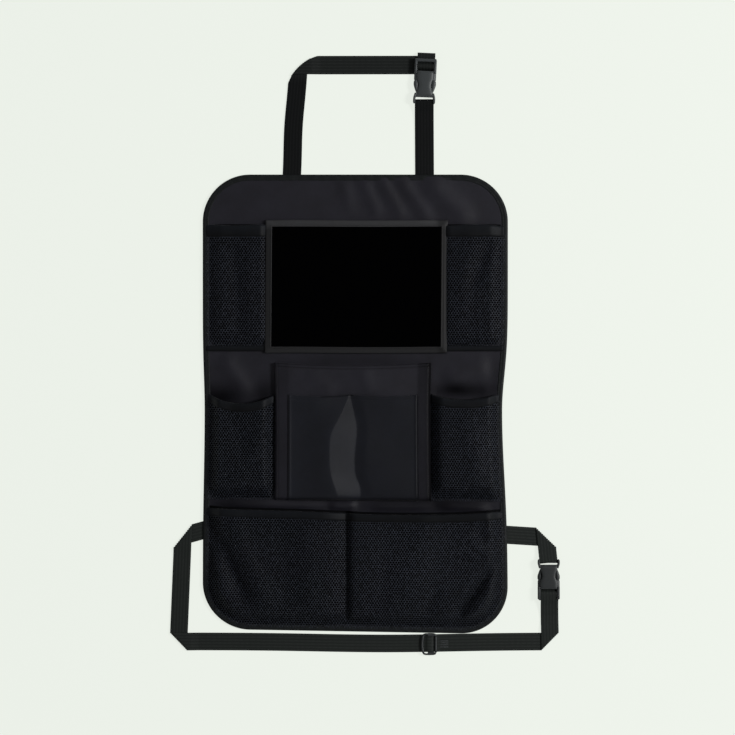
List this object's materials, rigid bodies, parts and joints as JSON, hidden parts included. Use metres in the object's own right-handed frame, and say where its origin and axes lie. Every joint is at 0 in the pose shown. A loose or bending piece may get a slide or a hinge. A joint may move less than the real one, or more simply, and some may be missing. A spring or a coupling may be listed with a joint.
{
  "type": "car_seat_back_organizer",
  "caption": "Cloth organizer for a car seat back, with a clear tablet window, mesh pockets, a pleated pocket, and adjustable webbing straps with side-release buckles.",
  "frame": {"origin": "middle of the panel's back face, the face that lies against the seat, at the mount seat_side_face", "axes": "+X to the panel's right seen from the pocket side, +Y up the panel toward the head-rest strap, +Z out of the pocket side"},
  "size_m": [0.5101, 0.7899, 0.0275],
  "materials": {
    "panel_cloth": "woven polyester, matte near-black",
    "binding_tape": "woven tape, matte, near-black",
    "mesh_net": "knitted net with 3.5 mm holes, near-black",
    "clear_film": "clear soft plastic film over black cloth",
    "strap_webbing": "woven strap webbing, near-black",
    "buckle_plastic": "satin black moulded plastic"
  },
  "bodies": {
    "root": {"back_panel": "panel_cloth", "edge_binding": "binding_tape", "tablet_window_frame": "binding_tape", "tablet_window_film": "clear_film", "upper_left_mesh": "mesh_net", "upper_left_hem": "binding_tape", "upper_left_seam_tape": "binding_tape", "upper_right_mesh": "mesh_net", "upper_right_hem": "binding_tape", "upper_right_seam_tape": "binding_tape", "lower_left_mesh": "mesh_net", "lower_left_hem": "binding_tape", "lower_right_mesh": "mesh_net", "lower_right_hem": "binding_tape", "centre_pocket": "panel_cloth", "front_pocket": "panel_cloth", "bottom_mesh": "mesh_net", "bottom_hem": "binding_tape", "top_strap_short": "strap_webbing", "top_strap_long": "strap_webbing", "top_buckle_plug": "buckle_plastic", "top_buckle_socket": "buckle_plastic", "lower_strap_short": "strap_webbing", "lower_strap_long": "strap_webbing", "lower_buckle_plug": "buckle_plastic", "lower_buckle_socket": "buckle_plastic", "strap_slider": "buckle_plastic"}
  },
  "joints": []
}
